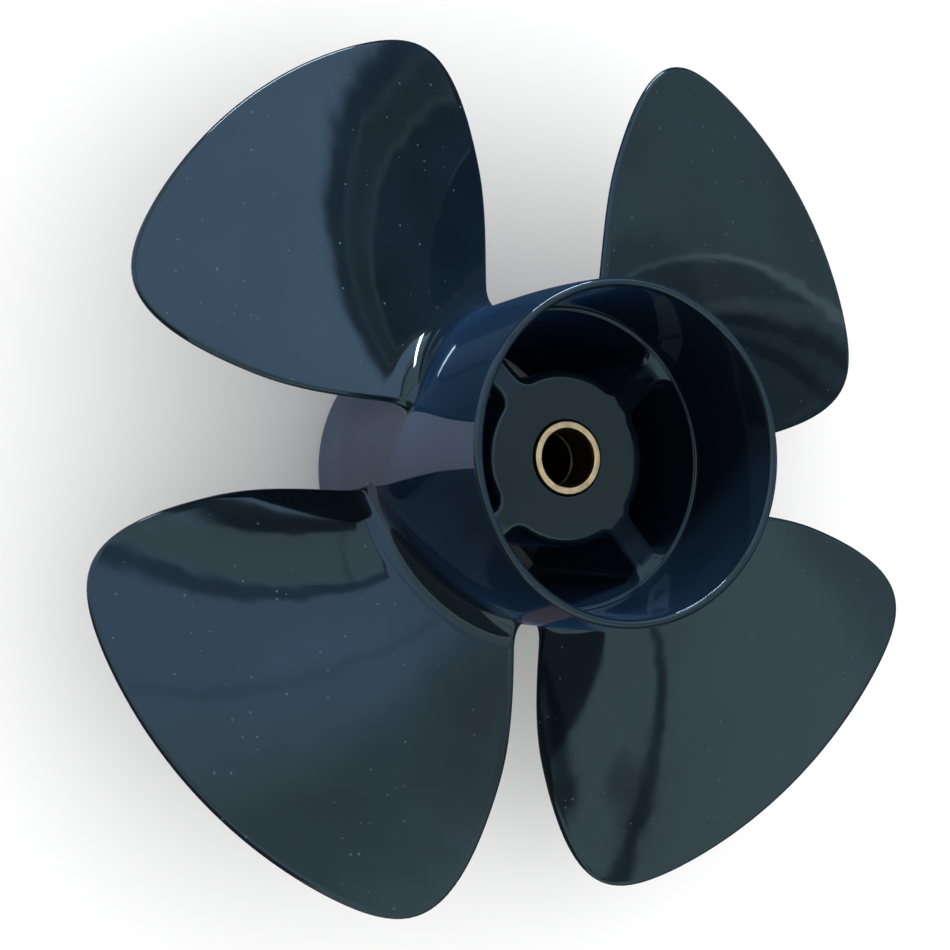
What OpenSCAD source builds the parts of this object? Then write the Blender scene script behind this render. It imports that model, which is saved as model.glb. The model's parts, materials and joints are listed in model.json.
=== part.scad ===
// Four-blade through-hub-exhaust boat propeller with a rubber-cushioned drive sleeve.
// The origin is the centre of the barrel's front face, on the shaft axis, and +Z points aft.

/* [Blades] */
// Tip circle diameter
prop_d = 348; // [320:1:380]
// Advance of the blade surface in one turn
pitch = 216; // [180:1:280]
// Height of the blades' mid-chord line above the front face
blade_z = 78; // [74:1:82]
// Half-angle that a blade covers, in degrees
blade_half_angle = 37.7; // [30:0.1:40]
// How square the blade's outer corners are
corner_power = 10.3; // [4:0.1:14]
// Share of the half-angle lost towards the root
root_narrowing = 0.18; // [0:0.01:0.3]
// Blade thickness at mid-chord beside the barrel
root_t = 9; // [7:0.5:11]
// Blade thickness along its edge
edge_t = 2.6; // [1.6:0.1:4]
// Extra thickness of the root fillet on each face
root_flare = 5; // [3:0.5:6]

/* [Barrel] */
// Barrel length, front face to rim
barrel_len = 152; // [146:1:160]
// Outer diameter along the blade roots
barrel_d = 124; // [122:1:126]
// Outer diameter of the aft rim
rim_d = 120; // [118:0.5:122]
// Outer diameter of the front face
front_d = 122; // [118:1:123]
// Inner diameter at the aft rim
rim_bore_d = 113.4; // [112.8:0.1:114]
// Inner diameter just aft of the step
step_d = 112.2; // [111.2:0.1:112.6]
// Inner diameter forward of the step
passage_d = 109.2; // [108:0.2:110]
// Height of the step above the front face
step_z = 105.3; // [103:0.1:108]

/* [Inner hub] */
// Outer diameter of the inner hub
hub_d = 65; // [60:1:68]
// Bore that holds the rubber cushion
hub_bore_d = 53; // [48:1:55]
// Radius that rounds the hub's aft edge
hub_edge_r = 3; // [1:0.5:4]
// Height of the inner hub's front end
hub_front_z = 14; // [10:1:17]
// Thickness of the aft wall behind the cushion
aft_wall_t = 8; // [5:1:12]
// Thickness of each rib
rib_t = 12; // [8:0.5:14]
// Radius of the exhaust passages' corners on the hub
hub_corner_r = 4; // [3:0.5:5]
// Radius of the exhaust passages' corners on the barrel wall
wall_corner_r = 5; // [3:0.5:6]
// Height of the ribs' front ends
rib_front_z = 20; // [18:1:40]

/* [Cushion and sleeve] */
// Diameter of the drive sleeve inside the cushion
sleeve_d = 32; // [30:1:36]
// Diameter of the sleeve's aft neck
neck_d = 27.2; // [26.6:0.2:28]
// Plain pilot bore through the neck
pilot_d = 21.8; // [21.4:0.1:22.4]
// Narrow lip where the pilot bore meets the spline
pilot_lip_d = 20.8; // [20:0.1:21.2]
// Length of the pilot bore
pilot_len = 18; // [14:1:24]
// Height of the sleeve's front end
sleeve_front_z = 8; // [4:1:10]
// Height of the sleeve's aft end
sleeve_aft_z = 105.6; // [103:0.1:107]
// Number of spline teeth
spline_teeth = 15; // [13:1:17]
// Spline diameter at the bottom of the grooves
spline_major_d = 25.4; // [24.8:0.1:26]
// Spline diameter across the teeth
spline_minor_d = 22.8; // [22.6:0.1:23.6]

/* [Hidden] */
paint = [0.035, 0.05, 0.075];
brass = [0.78, 0.6, 0.32];
rubber = [0.03, 0.03, 0.03];

round_fn = 96;
blade_count = 4;
first_blade_angle = 45;
// Radius that rounds the barrel's rim and front edge
lip_r = 1.5;
// The barrel is a plain cylinder between these heights, and narrows a little towards both ends
plain_from_z = 30;
plain_to_z = 106;
// The barrel's bore opens out by this much over this length at the front face
mouth_flare = 2;
mouth_len = 12;
// Bevels on small edges, from the sleeve's front end down to its bore
chamfer = 0.6;
small_chamfer = 0.4;
// Clearance round the neck where it passes through the hub's aft wall
neck_gap = 0.7;
// The sleeve stands this far proud of the hub's aft face
sleeve_proud = 1;
hub_face_z = sleeve_aft_z - sleeve_proud;
rib_top_z = hub_face_z - hub_edge_r;
// Blunt edge where a rib's foot thins out against a wall
foot_edge = 0.2;
// The ribs' outlines run this far into the hub and the wall before they are trimmed
foot_overrun = 1;
// The hair of running clearance between the sleeve and its cushion
running_gap = 0.05;
cushion_front_z = hub_front_z + 3;
cushion_edge = 1.5;
neck_z = sleeve_aft_z - pilot_len;
neck_slope = 1;
spline_mouth = 2;
// Share of each tooth's pitch that is tooth and not groove, and how much a groove narrows inward
spline_land = 0.42;
groove_taper = 0.72;

blade_rows = 20;
blade_columns = 16;
// The blade's surface starts this far inside the barrel's outer wall
blade_overrun = 2;
// How far round to the tip the last row of points lies
blade_end_angle = 88.4;
// Height of the root fillet above the barrel
flare_reach = 11;
// Inside this radius the blade narrows towards its root, over this length
narrow_from_r = 120;
narrow_reach = 60;
// How the thickness falls off from the root to the tip
thin_power = 1.1;
// The root fillet is this much smaller at the blade's two edges
edge_flare_loss = 0.6;

function arc(centre, r, from, to, steps) =
    [for (i = [0:steps]) let (a = from + (to - from) * i / steps) centre + r * [cos(a), sin(a)]];

// Curve from the plain cylinder to the rim, upright where it starts
function taper_curve(steps) =
    let (drop = (barrel_d - rim_d) / 2, run = barrel_len - lip_r - plain_to_z)
    [for (i = [1:steps]) let (k = i / steps) [barrel_d / 2 - drop * k * k, plain_to_z + run * k]];

module barrel_profile() {
    polygon(concat(
        [[passage_d / 2 + mouth_flare, 0]],
        arc([front_d / 2 - lip_r, lip_r], lip_r, -90, 0, 4),
        [[barrel_d / 2, plain_from_z], [barrel_d / 2, plain_to_z]],
        taper_curve(6),
        arc([rim_d / 2 - lip_r, barrel_len - lip_r], lip_r, 15, 90, 4),
        arc([rim_bore_d / 2 + lip_r, barrel_len - lip_r], lip_r, 90, 180, 4),
        [[step_d / 2, step_z], [passage_d / 2 + small_chamfer, step_z],
         [passage_d / 2, step_z - small_chamfer], [passage_d / 2, mouth_len]]
    ));
}

module barrel() {
    color(paint) rotate_extrude($fn = round_fn) barrel_profile();
}

module inner_hub() {
    hole_r = neck_d / 2 + neck_gap;
    inner_z = hub_face_z - aft_wall_t;
    hub_r = hub_d / 2;
    color(paint) rotate_extrude($fn = round_fn) polygon(concat(
        [[hub_bore_d / 2 + chamfer, hub_front_z], [hub_r - chamfer, hub_front_z],
         [hub_r, hub_front_z + chamfer]],
        arc([hub_r - hub_edge_r, rib_top_z], hub_edge_r, 0, 90, 6),
        [[hole_r + small_chamfer, hub_face_z], [hole_r, hub_face_z - small_chamfer],
         [hole_r, inner_z], [hub_bore_d / 2, inner_z], [hub_bore_d / 2, hub_front_z + chamfer]]
    ));
}

// Centre, at distance r from the axis, of the circle that rounds a passage's corner beside the rib
function corner_centre(r, corner_r) =
    let (side = rib_t / 2 + corner_r) [sqrt(r * r - side * side), side];

// One side of a rib seen along the axis: a curved foot on the hub, the flat, and a foot on the wall
function rib_side() =
    let (inner = corner_centre(hub_d / 2 + hub_corner_r + foot_edge, hub_corner_r),
         outer = corner_centre(passage_d / 2 - wall_corner_r - foot_edge, wall_corner_r),
         inner_a = atan2(inner.y, inner.x), outer_a = atan2(outer.y, outer.x))
    concat([(hub_d / 2 - foot_overrun) * [cos(inner_a), sin(inner_a)]],
           arc(inner, hub_corner_r, 180 + inner_a, 270, 8),
           arc(outer, wall_corner_r, 270, 360 + outer_a, 8),
           [(passage_d / 2 + foot_overrun) * [cos(outer_a), sin(outer_a)]]);

module rib() {
    upper = rib_side();
    lower = [for (i = [len(upper) - 1:-1:0]) [upper[i].x, -upper[i].y]];
    intersection() {
        translate([0, 0, rib_front_z]) linear_extrude(rib_top_z - rib_front_z)
            polygon(concat(upper, lower));
        difference() {
            cylinder(d = passage_d, h = barrel_len, $fn = round_fn);
            translate([0, 0, -1]) cylinder(d = hub_d, h = barrel_len + 2, $fn = round_fn);
        }
    }
}

// Half-angle that the blade covers at radius r
function half_angle(r) =
    let (tip = 1 - pow(2 * r / prop_d, 2), inward = max(0, narrow_from_r - r) / narrow_reach)
    blade_half_angle * pow(max(tip, 0), 1 / corner_power) * (1 - root_narrowing * inward * inward);

// Full thickness at radius r and chord position s, from -1 at the leading edge to 1 at the trailing edge
function thickness(r, s) =
    let (out = (r - barrel_d / 2) / ((prop_d - barrel_d) / 2),
         middle = edge_t + (root_t - edge_t) * pow(max(1 - out, 0), thin_power),
         near = max(0, 1 - (r - barrel_d / 2) / flare_reach))
    edge_t + (middle - edge_t) * (1 - s * s)
    + 2 * root_flare * near * near * (1 - edge_flare_loss * pow(s, 4));

// A point on the blade's aft face (side 1) or forward face (side -1)
function blade_point(r, s, side) =
    let (a = s * half_angle(r), lead = pitch / 360, p = lead * 180 / PI,
         offset = side * thickness(r, s) / 2 / sqrt(p * p + r * r))
    [r * cos(a) + offset * p * sin(a), r * sin(a) - offset * p * cos(a), blade_z + lead * a + offset * r];

function row_r(i) =
    let (start = asin((barrel_d - 2 * blade_overrun) / prop_d))
    prop_d / 2 * sin(start + (blade_end_angle - start) * i / blade_rows);

module blade_body() {
    wide = blade_columns + 1;
    sheet = wide * (blade_rows + 1);
    points = [for (side = [1, -1], i = [0:blade_rows], j = [0:blade_columns])
        blade_point(row_r(i), 2 * j / blade_columns - 1, side)];
    aft = [for (i = [0:blade_rows - 1], j = [0:blade_columns - 1]) let (k = i * wide + j)
        each [[k, k + wide, k + wide + 1], [k, k + wide + 1, k + 1]]];
    front = [for (f = aft) [f[0] + sheet, f[2] + sheet, f[1] + sheet]];
    last = blade_rows * wide;
    rim = concat(
        [for (j = [0:blade_columns]) j],
        [for (i = [1:blade_rows]) i * wide + blade_columns],
        [for (j = [blade_columns - 1:-1:0]) last + j],
        [for (i = [blade_rows - 1:-1:1]) i * wide]);
    wall = [for (i = [0:len(rim) - 1]) let (a = rim[i], b = rim[(i + 1) % len(rim)])
        each [[a, b, b + sheet], [a, b + sheet, a + sheet]]];
    polyhedron(points, concat(aft, front, wall));
}

// Turns a blade or rib to its place round the axis
module turned(number) {
    rotate([0, 0, first_blade_angle + 360 / blade_count * (number - 1)]) children();
}

module blade(number) {
    turned(number) color(paint) difference() {
        blade_body();
        cylinder(d = barrel_d, h = barrel_len, $fn = round_fn);
    }
}

module hub_rib(number) {
    turned(number) color(paint) rib();
}

module rubber_cushion() {
    inner_r = sleeve_d / 2 + running_gap;
    outer_r = hub_bore_d / 2;
    top_z = hub_face_z - aft_wall_t;
    color(rubber) rotate_extrude($fn = round_fn) polygon([
        [inner_r, cushion_front_z], [outer_r - cushion_edge, cushion_front_z],
        [outer_r, cushion_front_z + cushion_edge],
        [outer_r, top_z], [inner_r, top_z]
    ]);
}

// One groove of the spline, wider at its mouth than at its floor
module spline_groove() {
    half = 180 / spline_teeth;
    mouth = half * (1 - spline_land);
    floor_half = mouth * groove_taper;
    inner_r = spline_minor_d / 2 - small_chamfer;
    polygon([
        inner_r * [cos(mouth), -sin(mouth)], spline_major_d / 2 * [cos(floor_half), -sin(floor_half)],
        spline_major_d / 2 * [1, 0], spline_major_d / 2 * [cos(floor_half), sin(floor_half)],
        inner_r * [cos(mouth), sin(mouth)]
    ]);
}

module spline_cut() {
    depth = neck_z - sleeve_front_z;
    translate([0, 0, sleeve_front_z - 1]) {
        cylinder(d = spline_minor_d, h = depth + 1, $fn = round_fn);
        linear_extrude(depth + 1) for (i = [0:spline_teeth - 1])
            rotate(i * 360 / spline_teeth) spline_groove();
    }
}

module drive_sleeve() {
    lip_top_z = neck_z + 1;
    color(brass) difference() {
        rotate_extrude($fn = round_fn) polygon([
            [pilot_lip_d / 2, sleeve_front_z + spline_mouth],
            [spline_major_d / 2 + chamfer / 2, sleeve_front_z], [sleeve_d / 2 - chamfer, sleeve_front_z],
            [sleeve_d / 2, sleeve_front_z + chamfer], [sleeve_d / 2, neck_z - neck_slope],
            [neck_d / 2, neck_z + neck_slope], [neck_d / 2, sleeve_aft_z - small_chamfer],
            [neck_d / 2 - small_chamfer, sleeve_aft_z], [pilot_d / 2 + small_chamfer, sleeve_aft_z],
            [pilot_d / 2, sleeve_aft_z - small_chamfer], [pilot_d / 2, lip_top_z],
            [pilot_lip_d / 2, lip_top_z - (pilot_d - pilot_lip_d) / 2]
        ]);
        spline_cut();
    }
}

barrel();
inner_hub();
hub_rib(1);  // rib_1
hub_rib(2);  // rib_2
hub_rib(3);  // rib_3
hub_rib(4);  // rib_4
blade(1);  // blade_1
blade(2);  // blade_2
blade(3);  // blade_3
blade(4);  // blade_4
rubber_cushion();
drive_sleeve();
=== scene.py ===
import json
import math

import bmesh
import bpy
import numpy as np
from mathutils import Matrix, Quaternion, Vector

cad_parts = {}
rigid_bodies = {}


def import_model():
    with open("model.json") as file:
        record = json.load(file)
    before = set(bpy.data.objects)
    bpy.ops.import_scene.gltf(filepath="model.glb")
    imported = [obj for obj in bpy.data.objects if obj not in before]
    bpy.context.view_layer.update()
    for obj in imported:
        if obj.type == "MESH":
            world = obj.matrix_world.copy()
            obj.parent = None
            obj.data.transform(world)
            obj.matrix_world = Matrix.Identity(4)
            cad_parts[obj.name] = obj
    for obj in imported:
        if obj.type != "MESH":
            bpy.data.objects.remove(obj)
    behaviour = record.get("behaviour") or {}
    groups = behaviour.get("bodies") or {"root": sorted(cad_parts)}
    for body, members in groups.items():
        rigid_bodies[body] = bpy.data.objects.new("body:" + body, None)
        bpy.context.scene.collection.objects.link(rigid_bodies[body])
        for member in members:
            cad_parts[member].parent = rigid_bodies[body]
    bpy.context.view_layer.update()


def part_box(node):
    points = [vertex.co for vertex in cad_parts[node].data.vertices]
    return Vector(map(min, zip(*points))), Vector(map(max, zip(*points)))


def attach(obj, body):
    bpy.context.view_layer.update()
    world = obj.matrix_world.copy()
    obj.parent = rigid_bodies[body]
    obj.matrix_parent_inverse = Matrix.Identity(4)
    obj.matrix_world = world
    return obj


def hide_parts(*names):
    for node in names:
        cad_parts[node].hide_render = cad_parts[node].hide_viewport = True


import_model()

# The object is a cast boat propeller. Every size is in metres, in the CAD frame: the origin is at
# the centre of the barrel's front face, and +Z points aft along the shaft.
MM = 0.001
TAU = 2 * math.pi

# ---- Driving dimensions -------------------------------------------------------------------

_, BARREL_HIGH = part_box("barrel")
HUB_LOW, HUB_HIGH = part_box("inner_hub")
RIB_LOW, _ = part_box("rib_1")
SLEEVE_LOW, SLEEVE_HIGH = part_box("drive_sleeve")
CUSHION_LOW, CUSHION_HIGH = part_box("rubber_cushion")

# Blades: a plain right-handed helicoid, with the same outline and thickness as the CAD blades
PROP_R = 174 * MM
PITCH = 216 * MM
LEAD = PITCH / TAU
BLADE_Z = 78 * MM
BLADE_HALF_ANGLE = math.radians(37.7)
CORNER_POWER = 10.3
ROOT_NARROWING = 0.18
NARROW_FROM_R = 120 * MM
NARROW_REACH = 60 * MM
ROOT_T = 9 * MM
EDGE_T = 2.6 * MM
FIRST_BLADE_ANGLE = math.radians(45)
ROOT_FILLET = 10 * MM
EDGE_FILLET_SHARE = 0.4
ROOT_SINK = 0.4 * MM
THINNING_POWER = 1.1

# Barrel
BARREL_R = BARREL_HIGH.x
BARREL_LEN = BARREL_HIGH.z
RIM_R = 60 * MM
FRONT_R = 61 * MM
RIM_BORE_R = 56.7 * MM
STEP_R = 56.1 * MM
PASSAGE_R = 54.6 * MM
STEP_Z = 105.3 * MM
PLAIN_FROM_Z = 30 * MM
TAPER_Z = 106 * MM
LIP_R = 1.5 * MM
STEP_FOOT_R = 0.8 * MM
STEP_EDGE_R = 0.5 * MM
FLARE_Z = 12 * MM
FLARE = 2 * MM

# Inner hub and ribs
HUB_R = HUB_HIGH.x
HUB_BORE_R = 26.5 * MM
HUB_FACE_Z = HUB_HIGH.z
HUB_FRONT_Z = HUB_LOW.z
RIB_FRONT_Z = RIB_LOW.z
RIB_HALF_T = 6 * MM
HUB_CORNER_R = 4 * MM
WALL_CORNER_R = 5 * MM
HOLE_R = 14.3 * MM
HOLE_EDGE_R = 0.3 * MM
WALL_TOP_Z = CUSHION_HIGH.z
WEB_EDGE_R = 3 * MM
WEB_INTO_WALL = 0.4 * MM
RIB_DIP = 1.2 * MM
RIB_DIP_FROM_R = HUB_R - 1.5 * MM
RIB_DIP_RUN = 11 * MM
RIB_RISE_R = 8 * MM
RIB_RISE_RUN = 5 * MM
RIB_FRONT_RUN = 9 * MM

# Rubber cushion
CUSHION_GAP = 0.05 * MM
CUSHION_EDGE_R = 1.2 * MM
GROOVE_R = 1.6 * MM

# Drive sleeve
SLEEVE_R = SLEEVE_HIGH.x
NECK_R = 13.6 * MM
PILOT_R = 10.9 * MM
SLEEVE_FRONT_Z = SLEEVE_LOW.z
SLEEVE_AFT_Z = SLEEVE_HIGH.z
NECK_Z = 87.6 * MM
SPLINE_TEETH = 15
SPLINE_MAJOR_R = 12.7 * MM
SPLINE_MINOR_R = 11.4 * MM
SPLINE_STEPS = 20
GROOVE_SHARE = 0.36
FLANK_SHARE = 0.2
SLEEVE_FRONT_EDGE_R = 0.6 * MM
SLEEVE_AFT_EDGE_R = 0.5 * MM
NECK_CONE = 1 * MM
PILOT_LIP = 0.5 * MM
MOUTH_CHAMFER = 1 * MM


# ---- Mesh helpers -------------------------------------------------------------------------

def new_piece(name, grids, material, body, nodes, sharp_angle=50, cap=False):
    """Welds grids of points (rows x columns x 3) into one smooth mesh that stands for CAD nodes."""
    vertices, faces = [], []
    for grid in grids:
        rows, columns = grid.shape[:2]
        start = len(vertices)
        vertices.extend(map(tuple, grid.reshape(-1, 3)))
        for i in range(rows - 1):
            for j in range(columns - 1):
                a = start + i * columns + j
                faces.append((a, a + 1, a + columns + 1, a + columns))
    mesh = bpy.data.meshes.new(name)
    mesh.from_pydata(vertices, [], faces)
    bm = bmesh.new()
    bm.from_mesh(mesh)
    bmesh.ops.remove_doubles(bm, verts=bm.verts, dist=0.002 * MM)
    bmesh.ops.dissolve_degenerate(bm, edges=bm.edges, dist=0.001 * MM)
    if cap:
        bmesh.ops.holes_fill(bm, edges=[e for e in bm.edges if e.is_boundary], sides=0)
    bmesh.ops.recalc_face_normals(bm, faces=bm.faces)
    bm.to_mesh(mesh)
    bm.free()
    mesh.polygons.foreach_set("use_smooth", [True] * len(mesh.polygons))
    mesh.set_sharp_from_angle(angle=math.radians(sharp_angle))
    mesh.materials.append(material)
    piece = bpy.data.objects.new(name, mesh)
    bpy.context.scene.collection.objects.link(piece)
    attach(piece, body)
    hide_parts(*nodes)
    return piece


def lathe(profile, segments):
    """Turns a list of (radius, height) about the shaft axis into a grid that closes on itself."""
    turns = np.linspace(0, TAU, segments + 1)
    radius, height = np.array(profile).T
    return np.stack([radius[:, None] * np.cos(turns), radius[:, None] * np.sin(turns),
                     height[:, None] + 0 * turns], axis=-1)


def arc(centre, radius, start, end, steps):
    """Points on a circular arc in the (radius, height) plane, angles in degrees."""
    angles = np.radians(np.linspace(start, end, steps + 1))
    return [(centre[0] + radius * math.cos(a), centre[1] + radius * math.sin(a)) for a in angles]


def line(start, end, steps):
    """Evenly spaced points between two points, without the first."""
    return [tuple(np.array(start) + (np.array(end) - start) * (i + 1) / steps) for i in range(steps)]


def turned(grid, angle):
    """A grid turned about the shaft axis."""
    c, s = math.cos(angle), math.sin(angle)
    return grid @ np.array([[c, s, 0], [-s, c, 0], [0, 0, 1]])


# ---- Barrel -------------------------------------------------------------------------------

def barrel_radius(z):
    """Outer radius of the barrel at a height: a plain cylinder that tapers to the rim."""
    run = BARREL_LEN - LIP_R - TAPER_Z
    k = np.clip((z - TAPER_Z) / run, 0, 1)
    return BARREL_R - (BARREL_R - RIM_R) * k * k


def make_barrel(material):
    """Outside from the front face to the rolled rim, then inside down over the step to the front."""
    taper = [(float(barrel_radius(z)), z) for z in np.linspace(TAPER_Z, BARREL_LEN - LIP_R, 16)]
    profile = arc((FRONT_R - LIP_R, LIP_R), LIP_R, -90, 0, 8)
    profile += line(profile[-1], (BARREL_R, PLAIN_FROM_Z), 8)
    profile += line(profile[-1], (BARREL_R, TAPER_Z), 12) + taper[1:]
    profile += arc((RIM_R - LIP_R, BARREL_LEN - LIP_R), LIP_R, 6, 90, 8)
    profile += arc((RIM_BORE_R + LIP_R, BARREL_LEN - LIP_R), LIP_R, 90, 180, 8)
    profile += line(profile[-1], (STEP_R, STEP_Z + STEP_FOOT_R), 12)
    profile += arc((STEP_R - STEP_FOOT_R, STEP_Z + STEP_FOOT_R), STEP_FOOT_R, 0, -90, 5)[1:]
    profile += arc((PASSAGE_R + STEP_EDGE_R, STEP_Z - STEP_EDGE_R), STEP_EDGE_R, 90, 180, 5)
    profile += line(profile[-1], (PASSAGE_R, FLARE_Z), 16)
    profile += line(profile[-1], (PASSAGE_R + FLARE, 0), 3)
    profile.append(profile[0])
    new_piece("barrel_casting", [lathe(profile, 288)], material, "propeller",
              ["barrel"])


# ---- Blades -------------------------------------------------------------------------------

def half_angle(r):
    """Half-angle that a blade covers at radius r."""
    tip = np.clip(1 - (r / PROP_R) ** 2, 1e-9, 1)
    inward = np.clip(NARROW_FROM_R - r, 0, None) / NARROW_REACH
    return BLADE_HALF_ANGLE * tip ** (1 / CORNER_POWER) * (1 - ROOT_NARROWING * inward ** 2)


def thickness(r, s):
    """Full blade thickness at radius r and chord position s, -1 leading to 1 trailing."""
    out = np.clip((r - BARREL_R) / (PROP_R - BARREL_R), 0, 1)
    middle = EDGE_T + (ROOT_T - EDGE_T) * (1 - out) ** THINNING_POWER
    return EDGE_T + (middle - EDGE_T) * (1 - np.clip(s, -1, 1) ** 2)


def chord_scale(r):
    """Length along the blade per radian of blade angle."""
    return np.sqrt(r ** 2 + LEAD ** 2)


def on_blade(r, a, lift):
    """Points at radius r and blade angle a, lifted off the helicoid towards aft."""
    scale = chord_scale(r)
    angle = a - lift * LEAD / (scale * r)
    height = BLADE_Z + LEAD * a + lift * r / scale
    return np.stack([r * np.cos(angle), r * np.sin(angle), height], axis=-1)


def resampled(points, count):
    """A polyline of (r, a) points cut again at even steps along the blade's own surface."""
    r, a = points.T
    step = np.hypot(np.diff(r), np.diff(a) * chord_scale((r[1:] + r[:-1]) / 2))
    length = np.concatenate([[0], np.cumsum(step)])
    at = np.linspace(0, length[-1], count + 1)
    return np.stack([np.interp(at, length, r), np.interp(at, length, a)], axis=-1)


def blade_outline(start_r, side_steps, tip_steps):
    """The blade's edge from the leading root round the tip to the trailing root, as (r, a)."""
    rise = np.linspace(math.asin(start_r / PROP_R), math.pi / 2, 1200)
    r = PROP_R * np.sin(rise)
    a = half_angle(r)
    a[-1] = 0
    corner = int(np.argmax(r * (1 + a)))
    side = resampled(np.stack([r[:corner + 1], -a[:corner + 1]], axis=-1), side_steps)
    half_tip = np.stack([r[corner:], -a[corner:]], axis=-1)
    tip = resampled(np.concatenate([half_tip, half_tip[-2::-1] * [1, -1]]), tip_steps)
    return np.concatenate([side, tip[1:-1], side[::-1] * [1, -1]])


def inset(edge, distance):
    """The outline moved inward over the blade's surface."""
    r, a = edge.T
    scale = chord_scale(r)
    along = np.stack([np.gradient(r), np.gradient(a) * scale], axis=-1)
    along[0], along[-1] = (1, 0), (-1, 0)
    along /= np.linalg.norm(along, axis=1, keepdims=True)
    return np.stack([r - along[:, 1] * distance, a + along[:, 0] * distance / scale], axis=-1)


def coons(bottom, top, left, right):
    """Fills four boundary curves with a grid; rows run from bottom to top."""
    u = np.linspace(0, 1, len(bottom))[None, :, None]
    v = np.linspace(0, 1, len(left))[:, None, None]
    corners = ((1 - u) * (1 - v) * bottom[0] + u * (1 - v) * bottom[-1]
               + (1 - u) * v * top[0] + u * v * top[-1])
    return ((1 - v) * bottom[None] + v * top[None]
            + (1 - u) * left[:, None] + u * right[:, None] - corners)


def root_section(r, edge_steps, tip_steps):
    """Closed blade section at radius r, as (distance along the chord, lift), from the leading edge."""
    scale = chord_scale(r)
    half = half_angle(r)
    round_r = EDGE_T / 2
    turn = np.linspace(0, math.pi / 2, edge_steps + 1)
    nose = half - round_r * (1 - np.cos(turn)) / scale
    inner = np.linspace(-nose[-1], nose[-1], tip_steps + 1)[1:-1]
    a = np.concatenate([-nose, inner, nose[::-1]])
    share = np.concatenate([np.sin(turn), np.ones(tip_steps - 1), np.sin(turn)[::-1]])
    lift = share * thickness(r, a / half) / 2
    there = np.stack([a * scale, lift], axis=-1)
    back = there[::-1] * [1, -1]
    return np.concatenate([there, back[1:]]), a / half


def root_skirt(fillet_steps, edge_steps, tip_steps):
    """The blade's root fillet: sections that flare out until they lie flush on the barrel."""
    rows = []
    for step in range(fillet_steps + 1):
        turn = math.pi / 2 * (1 - step / fillet_steps) ** 1.5
        height = ROOT_FILLET * (1 - math.cos(turn))
        r = BARREL_R + height
        section, s = root_section(r, edge_steps, tip_steps)
        along = np.roll(section[:-1], -1, axis=0) - np.roll(section[:-1], 1, axis=0)
        along /= np.linalg.norm(along, axis=1, keepdims=True)
        outward = np.stack([-along[:, 1], along[:, 0]], axis=-1)
        s_loop = np.concatenate([s, s[::-1][1:]])[:-1]
        flare = ROOT_FILLET * (1 - math.sin(turn)) * (1 - (1 - EDGE_FILLET_SHARE) * s_loop ** 4)
        loop = section[:-1] + outward * flare[:, None]
        loop = np.concatenate([loop, loop[:1]])
        scale = chord_scale(r)
        points = on_blade(r, loop[:, 0] / scale, loop[:, 1])
        shrink = (barrel_radius(points[:, 2]) + height) / r
        points[:, :2] *= shrink[:, None]
        rows.append(points)
    sunk = rows[-1].copy()
    sunk[:, :2] *= 1 - ROOT_SINK / BARREL_R
    return np.array(rows + [sunk])


def blade_grids():
    """One blade about angle 0: its two faces, its rounded edge and its root fillet."""
    side_steps, tip_steps, edge_steps, fillet_steps = 56, 64, 6, 14
    start_r = BARREL_R + ROOT_FILLET
    edge = blade_outline(start_r, side_steps, tip_steps)
    round_r = EDGE_T / 2
    turns = np.linspace(0, math.pi / 2, edge_steps + 1)
    rings = [inset(edge, round_r * (1 - math.cos(t))) for t in turns]
    last = rings[-1]
    left, right = last[:side_steps + 1], last[::-1][:side_steps + 1]
    top = last[side_steps:side_steps + tip_steps + 1]
    bottom = np.linspace(left[0], right[0], tip_steps + 1)
    face = coons(bottom, top, left, right)
    grids = []
    for side in (1, -1):
        lift = side * thickness(face[..., 0], face[..., 1] / half_angle(face[..., 0])) / 2
        grids.append(on_blade(face[..., 0], face[..., 1], lift))
        strip = []
        for ring, turn in zip(rings, turns):
            r, a = ring.T
            lift = side * math.sin(turn) * thickness(r, a / half_angle(r)) / 2
            strip.append(on_blade(r, a, lift))
        grids.append(np.array(strip))
    grids.append(root_skirt(fillet_steps, edge_steps, tip_steps))
    return grids


def make_blades(material):
    """Four copies of one blade, a quarter turn apart."""
    grids = blade_grids()
    for number in range(1, 5):
        angle = FIRST_BLADE_ANGLE + (number - 1) * TAU / 4
        new_piece(f"blade_{number}_casting", [turned(g, angle) for g in grids], material,
                  "propeller", [f"blade_{number}"], cap=True)


# ---- Inner hub with its ribs --------------------------------------------------------------

def corner_centre(r, corner_r):
    """Centre, this far from the axis, of the circle that rounds a window's corner beside a rib."""
    side = RIB_HALF_T + corner_r
    return math.sqrt(r * r - side * side), side


def window_edge():
    """Half of a window's edge seen along the shaft, from inside the barrel wall to the hub's middle.

    The rib lies along angle 0 and the window above it. Also says how many points belong to the rib."""
    inner = corner_centre(HUB_R + HUB_CORNER_R, HUB_CORNER_R)
    outer = corner_centre(PASSAGE_R - WALL_CORNER_R, WALL_CORNER_R)
    inner_a, outer_a = (math.degrees(math.atan2(y, x)) for x, y in (inner, outer))
    wall = arc((0, 0), PASSAGE_R + WEB_INTO_WALL, outer_a, outer_a, 1)[1:]
    wall += arc(outer, WALL_CORNER_R, 360 + outer_a, 270, 12)
    flat = line(wall[-1], (inner[0], RIB_HALF_T), 10)
    foot = arc(inner, HUB_CORNER_R, 270, 180 + inner_a, 10)[1:]
    hub = arc((0, 0), HUB_R, inner_a, 45, 18)[1:]
    return np.array(wall + flat + foot + hub), len(wall) + len(flat)


def web_top(r):
    """Height of the aft side: a flat hub face, ribs that dip beyond it and rise again to the step."""
    k = np.clip((r - RIB_DIP_FROM_R) / RIB_DIP_RUN, 0, 1)
    dip = RIB_DIP * k * k * (3 - 2 * k)
    near_wall = np.clip(RIB_RISE_RUN - (PASSAGE_R - r), 0, RIB_RISE_RUN)
    return HUB_FACE_Z - dip + RIB_RISE_R - np.sqrt(RIB_RISE_R ** 2 - near_wall ** 2)


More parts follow.
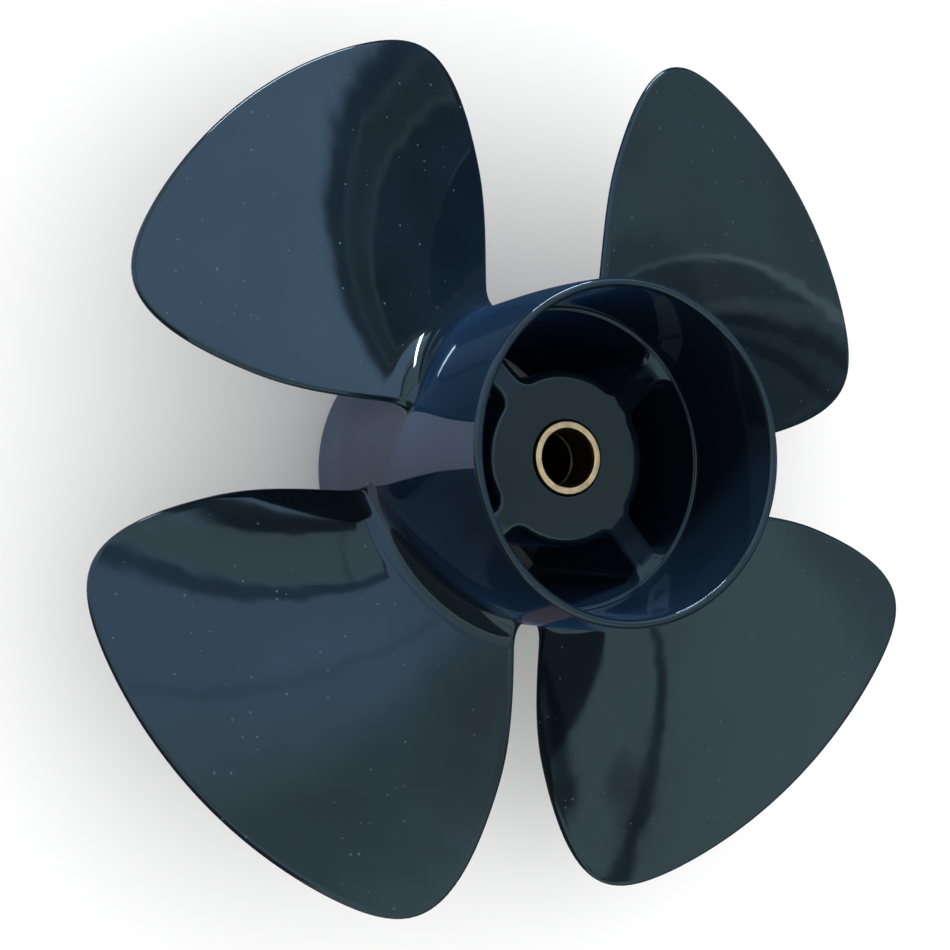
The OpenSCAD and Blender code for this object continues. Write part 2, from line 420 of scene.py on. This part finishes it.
def web_front(r):
    """Height of the front ends: the hub's, rising to the ribs'."""
    k = np.clip((r - HUB_R) / RIB_FRONT_RUN, 0, 1)
    return HUB_FRONT_Z + (RIB_FRONT_Z - HUB_FRONT_Z) * k * k * (3 - 2 * k)


def flat_grid(points, heights):
    """Points in the plane with their heights as one array of 3-D points."""
    return np.concatenate([points, heights[..., None]], axis=-1)


def web_face(edge, rib_points, inner_r, height, side):
    """An end face of half a sector, from the window's rounded edge to the rib's centre line."""
    along = np.gradient(edge, axis=0)
    along /= np.linalg.norm(along, axis=1, keepdims=True)
    inward = np.stack([-along[:, 1], along[:, 0]], axis=-1)
    inward[-1] = -edge[-1] / HUB_R
    rows = []
    for turn in np.linspace(0, math.pi / 2, 9):
        moved = edge + inward * WEB_EDGE_R * (1 - math.cos(turn))
        drop = WEB_EDGE_R * (1 - math.sin(turn))
        rows.append(flat_grid(moved, height(np.hypot(*moved.T)) - side * drop))
    start = rows[-1][:, :2]
    count = len(edge)
    corner = rib_points + (count - rib_points) // 3
    centre = [(x, 0) for x in start[:rib_points, 0]]
    centre += line(centre[-1], (inner_r, 0), corner - rib_points)
    centre += arc((0, 0), inner_r, 0, 45, count - corner)[1:]
    for share in np.linspace(0, 1, 17)[1:]:
        points = start + (np.array(centre) - start) * share
        rows.append(flat_grid(points, height(np.hypot(*points.T))))
    return np.array(rows), count - corner


def web_grids():
    """Half a sector of the web: aft face, front face and the window's wall."""
    edge, rib_points = window_edge()
    aft, arc_steps = web_face(edge, rib_points, HOLE_R + HOLE_EDGE_R, web_top, 1)
    front, arc_steps = web_face(edge, rib_points, HUB_BORE_R, web_front, -1)
    share = np.linspace(0, 1, 25)[:, None, None]
    wall = aft[0] * (1 - share) + front[0] * share
    return [aft, front, wall], arc_steps


def make_hub(material):
    """The hub's aft wall, bore and four ribs in one: eight half sectors round one turned bore."""
    half, arc_steps = web_grids()
    mirrored = [g * [1, -1, 1] for g in half]
    grids = []
    for quarter in range(4):
        angle = FIRST_BLADE_ANGLE + quarter * TAU / 4
        grids += [turned(g, angle) for g in half + mirrored]
    bore = arc((HOLE_R + HOLE_EDGE_R, HUB_FACE_Z - HOLE_EDGE_R), HOLE_EDGE_R, 90, 180, 4)
    bore += line(bore[-1], (HOLE_R, WALL_TOP_Z), 4)
    bore += line(bore[-1], (HUB_BORE_R, WALL_TOP_Z), 4)
    bore += line(bore[-1], (HUB_BORE_R, HUB_FRONT_Z), 16)
    grids.append(lathe(bore, 8 * arc_steps))
    new_piece("hub_and_ribs_casting", grids, material, "propeller",
              ["inner_hub", "rib_1", "rib_2", "rib_3", "rib_4"], cap=True)


# ---- Cushion and sleeve -------------------------------------------------------------------

def make_cushion(material):
    """A plain bush with rounded front edges and a moulded groove between them."""
    inner_r, outer_r = SLEEVE_R + CUSHION_GAP, HUB_BORE_R - CUSHION_GAP
    front, aft = CUSHION_LOW.z, CUSHION_HIGH.z
    middle_r = (inner_r + outer_r) / 2
    edge_z = front + CUSHION_EDGE_R
    profile = [(inner_r, aft), (inner_r, edge_z)]
    profile += arc((inner_r + CUSHION_EDGE_R, edge_z), CUSHION_EDGE_R, 180, 270, 6)[1:]
    profile += arc((middle_r, front), GROOVE_R, 180, 0, 10)
    profile += arc((outer_r - CUSHION_EDGE_R, edge_z), CUSHION_EDGE_R, 270, 360, 6)
    profile += [(outer_r, aft), (inner_r, aft)]
    new_piece("rubber_cushion_moulding", [lathe(profile, 144)], material, "propeller",
              ["rubber_cushion"])


def spline_radius(turns):
    """Radius of the splined bore at each angle: teeth with sloping flanks between flat grooves."""
    phase = (turns * SPLINE_TEETH / TAU) % 1
    from_groove = np.abs(phase - 0.5) * 2
    k = np.clip((from_groove - GROOVE_SHARE) / FLANK_SHARE, 0, 1)
    return SPLINE_MAJOR_R + (SPLINE_MINOR_R - SPLINE_MAJOR_R) * k


def ring(radius, height, turns):
    """One row of points round the shaft axis, at a fixed or changing radius."""
    return np.stack([radius * np.cos(turns), radius * np.sin(turns), height + 0 * turns], axis=-1)


def make_sleeve(material):
    """Outside, then the plain pilot bore and its lip, then the splined bore back to the front."""
    turns = np.linspace(0, TAU, SPLINE_TEETH * SPLINE_STEPS + 1)
    front_r, aft_r = SLEEVE_FRONT_EDGE_R, SLEEVE_AFT_EDGE_R
    lip_z = NECK_Z + NECK_CONE
    profile = arc((SLEEVE_R - front_r, SLEEVE_FRONT_Z + front_r), front_r, -90, 0, 4)
    profile += line(profile[-1], (SLEEVE_R, NECK_Z - NECK_CONE), 6)
    profile += [(NECK_R, lip_z), (NECK_R, SLEEVE_AFT_Z - aft_r)]
    profile += arc((NECK_R - aft_r, SLEEVE_AFT_Z - aft_r), aft_r, 0, 90, 5)[1:]
    profile += line(profile[-1], (PILOT_R + aft_r, SLEEVE_AFT_Z), 3)
    profile += arc((PILOT_R + aft_r, SLEEVE_AFT_Z - aft_r), aft_r, 90, 180, 5)[1:]
    profile += line(profile[-1], (PILOT_R, lip_z), 6)
    profile += [(PILOT_R - PILOT_LIP, lip_z - PILOT_LIP), (PILOT_R - PILOT_LIP, NECK_Z)]
    rows = [ring(r, z, turns) for r, z in profile]
    bore = spline_radius(turns)
    for z in np.linspace(NECK_Z, SLEEVE_FRONT_Z + MOUTH_CHAMFER, 8):
        rows.append(ring(bore, z, turns))
    rows.append(ring(bore + MOUTH_CHAMFER, SLEEVE_FRONT_Z, turns))
    rows.append(rows[0])
    new_piece("drive_sleeve_turned", [np.array(rows)], material, "drive", ["drive_sleeve"],
              sharp_angle=35)


# ---- Materials ----------------------------------------------------------------------------

class Shader:
    """Small helper that adds and links nodes of one material."""

    def __init__(self, name):
        self.material = bpy.data.materials.new(name)
        self.material.use_nodes = True
        self.tree = self.material.node_tree
        self.principled = self.tree.nodes["Principled BSDF"]
        self.place = self.add("ShaderNodeTexCoord").outputs["Object"]

    def add(self, kind, **values):
        node = self.tree.nodes.new(kind)
        for key, value in values.items():
            setattr(node, key, value)
        return node

    def link(self, output, socket):
        self.tree.links.new(output, socket)

    def noise(self, scale, detail):
        node = self.add("ShaderNodeTexNoise")
        node.inputs["Scale"].default_value = scale
        node.inputs["Detail"].default_value = detail
        self.link(self.place, node.inputs["Vector"])
        return node.outputs["Fac"]

    def remap(self, value, low, high, to_low=0.0, to_high=1.0):
        node = self.add("ShaderNodeMapRange")
        ends = {"From Min": low, "From Max": high, "To Min": to_low, "To Max": to_high}
        for key, number in ends.items():
            node.inputs[key].default_value = number
        self.link(value, node.inputs["Value"])
        return node.outputs["Result"]

    def math(self, operation, a, b):
        node = self.add("ShaderNodeMath", operation=operation)
        for socket, value in zip(node.inputs, (a, b)):
            if isinstance(value, (int, float)):
                socket.default_value = value
            else:
                self.link(value, socket)
        return node.outputs["Value"]

    def mix(self, factor, a, b):
        node = self.add("ShaderNodeMix", data_type="RGBA")
        self.link(factor, node.inputs["Factor"])
        for socket, value in ((node.inputs["A"], a), (node.inputs["B"], b)):
            if isinstance(value, tuple):
                socket.default_value = (*value, 1)
            else:
                self.link(value, socket)
        return node.outputs["Result"]

    def bump(self, height, distance, normal=None):
        node = self.add("ShaderNodeBump")
        node.inputs["Distance"].default_value = distance
        self.link(height, node.inputs["Height"])
        if normal is not None:
            self.link(normal, node.inputs["Normal"])
        return node.outputs["Normal"]

    def dust(self, scale, size, rarity, from_r):
        """1 on small specks that cling to the aft side of the blades here and there, 0 elsewhere."""
        cells = self.add("ShaderNodeTexVoronoi")
        cells.inputs["Scale"].default_value = scale
        self.link(self.place, cells.inputs["Vector"])
        chance = self.add("ShaderNodeSeparateColor")
        self.link(cells.outputs["Color"], chance.inputs["Color"])
        reach = self.math("MULTIPLY", chance.outputs["Green"], size)
        speck = self.math("LESS_THAN", cells.outputs["Distance"], reach)
        patches = self.remap(self.noise(16, 1), 0.35, 0.7, 0.12, 0.0)
        chosen = self.math("GREATER_THAN", chance.outputs["Red"], self.math("ADD", patches, rarity))
        side = self.add("ShaderNodeSeparateXYZ")
        self.link(self.add("ShaderNodeNewGeometry").outputs["Normal"], side.inputs["Vector"])
        aft = self.remap(side.outputs["Z"], 0.6, 0.8)
        flat = self.add("ShaderNodeVectorMath", operation="MULTIPLY")
        flat.inputs[1].default_value = (1, 1, 0)
        self.link(self.place, flat.inputs[0])
        radius = self.add("ShaderNodeVectorMath", operation="LENGTH")
        self.link(flat.outputs["Vector"], radius.inputs[0])
        outside = self.remap(radius.outputs["Value"], from_r, from_r + 4 * MM)
        here = self.math("MULTIPLY", aft, outside)
        return self.math("MULTIPLY", here, self.math("MULTIPLY", speck, chosen))

    def set(self, **values):
        for key, value in values.items():
            socket = self.principled.inputs[key.replace("_", " ")]
            if hasattr(value, "is_linked"):
                self.link(value, socket)
            elif isinstance(value, tuple):
                socket.default_value = (*value, 1)
            else:
                socket.default_value = value


def paint_material():
    """Gloss near-black navy paint over a casting: orange peel, cast waviness, haze and dust."""
    shader = Shader("gloss_black_paint")
    tone = shader.remap(shader.noise(22, 3), 0.35, 0.65)
    paint = shader.mix(tone, (0.0018, 0.0036, 0.0052), (0.0026, 0.0052, 0.0080))
    dust = shader.dust(scale=340, size=0.17, rarity=0.66, from_r=BARREL_R + 4 * MM)
    haze = shader.remap(shader.noise(55, 4), 0.4, 0.75, 0.045, 0.085)
    rough = shader.math("ADD", haze, shader.math("MULTIPLY", dust, 0.35))
    waves = shader.bump(shader.noise(24, 2), 0.22 * MM)
    peel = shader.bump(shader.noise(140, 1), 0.012 * MM, normal=waves)
    shader.set(Base_Color=shader.mix(dust, paint, (0.022, 0.032, 0.040)), Roughness=rough, Normal=peel,
               Specular_Tint=(0.70, 0.85, 1.0), Sheen_Weight=0.1, Sheen_Roughness=0.35,
               Sheen_Tint=(0.10, 0.36, 1.0))
    return shader.material


def brass_material():
    """Turned brass: fine tool rings on the end faces, and painted shade that darkens the sleeve below
    its aft end face, over the bore.
    """
    shader = Shader("machined_brass")
    tarnish = shader.remap(shader.noise(260, 4), 0.35, 0.7)
    bright = shader.mix(tarnish, (0.74, 0.46, 0.28), (0.44, 0.27, 0.16))
    parts = shader.add("ShaderNodeSeparateXYZ")
    shader.link(shader.place, parts.inputs["Vector"])
    # Painted shade: below the aft end face the brass gets a dark brown base colour that stands in for
    # the shade inside the bore
    face = shader.remap(parts.outputs["Z"], SLEEVE_AFT_Z - 2.5 * MM, SLEEVE_AFT_Z - 0.5 * MM)
    colour = shader.mix(face, (0.24, 0.20, 0.115), bright)
    rings = shader.add("ShaderNodeTexWave", wave_type="RINGS", rings_direction="Z")
    rings.inputs["Scale"].default_value = 900
    rings.inputs["Distortion"].default_value = 1.5
    shader.link(shader.place, rings.inputs["Vector"])
    grooves = shader.bump(rings.outputs["Fac"], 0.012 * MM)
    worn = shader.bump(shader.noise(900, 2), 0.03 * MM, normal=grooves)
    rough = shader.remap(shader.noise(400, 3), 0.3, 0.7, 0.26, 0.42)
    shader.set(Base_Color=colour, Metallic=1.0, Roughness=rough, Normal=worn)
    return shader.material


def rubber_material():
    """Moulded black rubber: matt, with a fine grain and a greyish bloom."""
    shader = Shader("moulded_rubber")
    bloom = shader.remap(shader.noise(60, 4), 0.4, 0.75)
    colour = shader.mix(bloom, (0.010, 0.010, 0.011), (0.032, 0.032, 0.031))
    grain = shader.bump(shader.noise(1500, 2), 0.08 * MM)
    rough = shader.remap(shader.noise(300, 3), 0.3, 0.7, 0.62, 0.82)
    shader.set(Base_Color=colour, Roughness=rough, Normal=grain)
    return shader.material


def floor_material():
    """A pale floor, which glossy rays see as a painted reflection instead: pale blue, brownish near
    -Y, dark beyond.
    """
    shader = Shader("pale_floor")
    parts = shader.add("ShaderNodeSeparateXYZ")
    shader.link(shader.place, parts.inputs["Vector"])
    beyond = shader.math("ADD", parts.outputs["X"], parts.outputs["Y"])
    # Painted reflection: the gloss paint mirrors these colours instead of the floor's pale grey; the
    # dark part is painted shade in that reflection
    pale, brownish, dark = (0.72, 0.80, 1.0), (0.16, 0.11, 0.09), (0.03, 0.04, 0.06)
    left = shader.mix(shader.remap(parts.outputs["Y"], -0.09, -0.05), brownish, pale)
    mirrored = shader.mix(shader.remap(beyond, -0.06, 0.02), left, dark)
    path = shader.add("ShaderNodeLightPath")
    colour = shader.mix(path.outputs["Is Glossy Ray"], (0.92, 0.92, 0.92), mirrored)
    shader.set(Base_Color=colour, Roughness=1.0, Specular_IOR_Level=0.0)
    return shader.material


# ---- Camera, lights and floor -------------------------------------------------------------

# The camera was fitted to the photo: where it stands, where it looks and which way is right
CAMERA_PLACE = Vector((-260.63, -43.95, 586.19)) * MM
CAMERA_AHEAD = Vector((0.41327, 0.1427, -0.89936))
CAMERA_RIGHT = Vector((0.90494, 0.04573, 0.42308))
CAMERA_LENS = 56.195
SENSOR_WIDTH = 36
CAMERA_SHIFT_Y = -0.1211
FLOOR_HALF_WIDTH = 6.0
SKY_STRENGTH = 1.25
LAMP_DISTANCE = 2.0


def make_camera():
    """Stands the camera at the photo's viewpoint, rolled about its axis as the photo is."""
    data = bpy.data.cameras.new("camera")
    data.lens = CAMERA_LENS
    data.sensor_width = SENSOR_WIDTH
    data.shift_y = CAMERA_SHIFT_Y
    camera = bpy.data.objects.new("camera", data)
    bpy.context.scene.collection.objects.link(camera)
    camera.rotation_mode = "QUATERNION"
    level = CAMERA_AHEAD.to_track_quat("-Z", "Y")
    level_right = level @ Vector((1, 0, 0))
    level_up = level @ Vector((0, 1, 0))
    roll = math.atan2(CAMERA_RIGHT.dot(level_up), CAMERA_RIGHT.dot(level_right))
    camera.location = CAMERA_PLACE
    camera.rotation_quaternion = level @ Quaternion((0, 0, 1), roll)
    bpy.context.scene.camera = camera


def make_stage():
    """A wide pale floor under the barrel's front face."""
    mesh = bpy.data.meshes.new("floor")
    half = FLOOR_HALF_WIDTH
    corners = [(-half, -half, 0), (half, -half, 0), (half, half, 0), (-half, half, 0)]
    mesh.from_pydata(corners, [], [(0, 1, 2, 3)])
    mesh.materials.append(floor_material())
    floor = bpy.data.objects.new("floor", mesh)
    bpy.context.scene.collection.objects.link(floor)


class Surroundings:
    """Builds the light that glossy surfaces mirror: a ceiling with darker gaps, and a dim ground.

    A place on the ceiling is (u, v), how far its direction leans from +Z towards +X and +Y."""

    def __init__(self, tree):
        self.tree = tree
        direction = self.add("ShaderNodeTexCoord").outputs["Generated"]
        parts = self.add("ShaderNodeSeparateXYZ")
        tree.links.new(direction, parts.inputs["Vector"])
        self.height = parts.outputs["Z"]
        steep = self.math("MAXIMUM", self.math("ABSOLUTE", self.height), 0.12)
        self.u = self.math("DIVIDE", parts.outputs["X"], steep)
        self.v = self.math("DIVIDE", parts.outputs["Y"], steep)
        self.level = 1.0

    def add(self, kind, **values):
        node = self.tree.nodes.new(kind)
        for key, value in values.items():
            setattr(node, key, value)
        return node

    def math(self, operation, a, b=0.0):
        node = self.add("ShaderNodeMath", operation=operation)
        for socket, value in zip(node.inputs, (a, b)):
            if isinstance(value, (int, float)):
                socket.default_value = value
            else:
                self.tree.links.new(value, socket)
        return node.outputs["Value"]

    def mix(self, factor, a, b):
        node = self.add("ShaderNodeMix", data_type="RGBA")
        self.tree.links.new(factor, node.inputs["Factor"])
        for socket, value in ((node.inputs["A"], a), (node.inputs["B"], b)):
            if isinstance(value, tuple):
                socket.default_value = (*value, 1)
            else:
                self.tree.links.new(value, socket)
        return node.outputs["Result"]

    def step(self, value, start, end):
        """0 before start and 1 past end, with a soft change between."""
        node = self.add("ShaderNodeMapRange", interpolation_type="SMOOTHSTEP")
        node.inputs["From Min"].default_value = start
        node.inputs["From Max"].default_value = end
        self.tree.links.new(value, node.inputs["Value"])
        return node.outputs["Result"]

    def across(self, angle):
        """Distance over the ceiling in the direction that lies at this angle from +X."""
        angle = math.radians(angle)
        return self.math("ADD", self.math("MULTIPLY", self.u, math.cos(angle)),
                         self.math("MULTIPLY", self.v, math.sin(angle)))

    def past(self, angle, start, end):
        """1 on the far side of a straight line over the ceiling."""
        return self.step(self.across(angle), start, end)

    def before(self, angle, start, end):
        return self.math("SUBTRACT", 1.0, self.past(angle, start, end))

    def band(self, angle, middle, half_width, softness):
        """1 within a straight band of the ceiling and 0 outside it."""
        away = self.math("ABSOLUTE", self.math("SUBTRACT", self.across(angle), middle))
        return self.math("SUBTRACT", 1.0, self.step(away, half_width, half_width + softness))

    def darken(self, depth, *masks):
        """Darkens the ceiling where all the masks meet, or brightens it if depth is negative."""
        mask = masks[0]
        for other in masks[1:]:
            mask = self.math("MULTIPLY", mask, other)
        rest = self.math("SUBTRACT", 1.0, self.math("MULTIPLY", mask, depth))
        self.level = self.math("MULTIPLY", self.level, rest)


def make_ceiling(room):
    """Colour of the ceiling: blue-white, with beams, gaps and a dark far corner."""
    near_side, far_side = room.before(90, -0.28, -0.2), room.past(90, 0.62, 0.72)
    # Over the near side: a dark corner, a beam and its shade
    room.darken(0.88, near_side, room.before(-21.2, -0.05, -0.02))
    room.darken(0.8, near_side, room.before(0, -0.02, 0.04), room.past(90, -0.32, -0.29))
    room.darken(0.75, near_side, room.band(-19.8, 0.266, 0.012, 0.018))
    room.darken(0.45, near_side, room.band(0, 0.10, 0.05, 0.04), room.band(90, -0.38, 0.015, 0.03))
    room.darken(0.35, near_side, room.past(0, 0.62, 0.74))
    # Overhead: two beams and a soft fold
    overhead = room.before(0, 0.1, 0.16)
    room.darken(0.16, overhead, room.past(90, -0.15, -0.05))
    room.darken(0.72, overhead, room.band(45, 0.366, 0.015, 0.022), room.past(90, 0.38, 0.44))
    room.darken(0.30, overhead, room.band(45, -0.018, 0.015, 0.05), room.past(90, -0.15, -0.05))
    room.darken(0.20, overhead, room.band(61, 0.205, 0.004, 0.02))
    room.darken(0.85, far_side, room.past(15, 0.285, 0.3), room.before(15, 0.40, 0.42))
    room.darken(0.35, far_side, room.band(-15.7, -0.34, 0.004, 0.01), room.before(0, 0.05, 0.06))
    # Far to the right: a dark doorway with a paler strip in it
    room.darken(0.88, far_side, room.past(0, 0.88, 0.96), room.before(0, 1.02, 1.08))
    room.darken(0.84, far_side, room.past(0, 1.02, 1.08), room.before(0, 1.2, 1.3))
    room.darken(0.94, far_side, room.past(0, 1.2, 1.3))
    # To the right: dimmer, with slats along it
    right_side = room.math("MULTIPLY", room.past(0, 0.95, 1.05), room.before(90, 0.5, 0.62))
    room.darken(0.52, right_side)
    room.darken(0.40, right_side, room.past(0, 1.75, 1.95))
    room.darken(0.45, right_side, room.before(102.4, -0.39, -0.37))
    room.darken(-1.2, right_side, room.band(102.4, -0.36, 0.006, 0.012))
    room.darken(-0.7, right_side, room.band(80, 0.075, 0.015, 0.02))
    room.darken(0.70, right_side, room.band(80, 0.008, 0.018, 0.012))
    room.darken(0.75, right_side, room.band(80, -0.09, 0.02, 0.012))
    # Straight along the shaft's mirror line: a dim patch that the flat hub face shows
    room.darken(0.50, room.band(0, 0.48, 0.3, 0.06), room.band(90, 0.12, 0.28, 0.08))
    bluish = room.math("MULTIPLY", room.past(90, 0.02, 0.34), room.before(0, 0.95, 1.1))
    greyer = room.math("MULTIPLY", overhead, room.past(45, 0.38, 0.42))
    bluish = room.math("MULTIPLY", bluish, room.math("SUBTRACT", 1.0, greyer))
    tint = room.mix(bluish, (1.12, 1.48, 1.36), (1.26, 1.78, 2.25))
    return room.mix(room.level, (0, 0, 0), tint)


def make_ground(room):
    """Colour of what lies below: pale on the near left, dark towards the far right."""
    return room.mix(room.past(45, -0.08, 0.25), (0.60, 0.68, 0.88), (0.02, 0.03, 0.045))


def make_light():
    """A plain white sky, which gloss paint mirrors as the room, and two lamps for the object."""
    world = bpy.data.worlds.new("studio")
    world.use_nodes = True
    tree = world.node_tree
    room = Surroundings(tree)
    mirrored = tree.nodes.new("ShaderNodeBackground")
    colour = room.mix(room.step(room.height, -0.02, 0.02), make_ground(room), make_ceiling(room))
    tree.links.new(colour, mirrored.inputs["Color"])
    plain = tree.nodes["Background"]
    plain.inputs["Color"].default_value = (1, 1, 1, 1)
    plain.inputs["Strength"].default_value = SKY_STRENGTH
    path = tree.nodes.new("ShaderNodeLightPath")
    choose = tree.nodes.new("ShaderNodeMixShader")
    tree.links.new(path.outputs["Is Glossy Ray"], choose.inputs["Fac"])
    tree.links.new(plain.outputs["Background"], choose.inputs[1])
    tree.links.new(mirrored.outputs["Background"], choose.inputs[2])
    tree.links.new(choose.outputs["Shader"], tree.nodes["World Output"].inputs["Surface"])
    bpy.context.scene.world = world
    add_softbox("window", azimuth=92, elevation=17, size=(1.0, 0.14), colour=(0.80, 0.90, 1.0),
                power=32)
    fill = add_softbox("fill", azimuth=101, elevation=34, size=(0.5, 0.3), colour=(0.75, 0.88, 1.0),
                       power=100)
    fill.visible_glossy = False


def lit_pieces():
    """A collection with every piece of the object, but not the floor."""
    group = bpy.data.collections.get("lit_pieces") or bpy.data.collections.new("lit_pieces")
    for piece in bpy.context.scene.objects:
        if piece.type == "MESH" and piece.name != "floor" and piece.name not in group.objects:
            group.objects.link(piece)
    return group


def add_softbox(name, azimuth, elevation, size, colour, power):
    """A rectangular lamp that lights the object, not the floor, from this direction in degrees."""
    data = bpy.data.lights.new(name, "AREA")
    data.shape = "RECTANGLE"
    data.size, data.size_y = size
    data.color = colour
    data.energy = power
    lamp = bpy.data.objects.new(name, data)
    lamp.visible_camera = False
    lamp.light_linking.receiver_collection = lit_pieces()
    a, e = math.radians(azimuth), math.radians(elevation)
    away = Vector((math.cos(e) * math.cos(a), math.cos(e) * math.sin(a), math.sin(e)))
    lamp.location = away * LAMP_DISTANCE
    lamp.rotation_mode = "QUATERNION"
    lamp.rotation_quaternion = away.to_track_quat("Z", "Y")
    bpy.context.scene.collection.objects.link(lamp)
    return lamp


make_camera()
make_stage()
bpy.context.scene.view_settings.view_transform = "Standard"

paint = paint_material()
make_barrel(paint)
make_blades(paint)
make_hub(paint)
make_cushion(rubber_material())
make_sleeve(brass_material())
make_light()
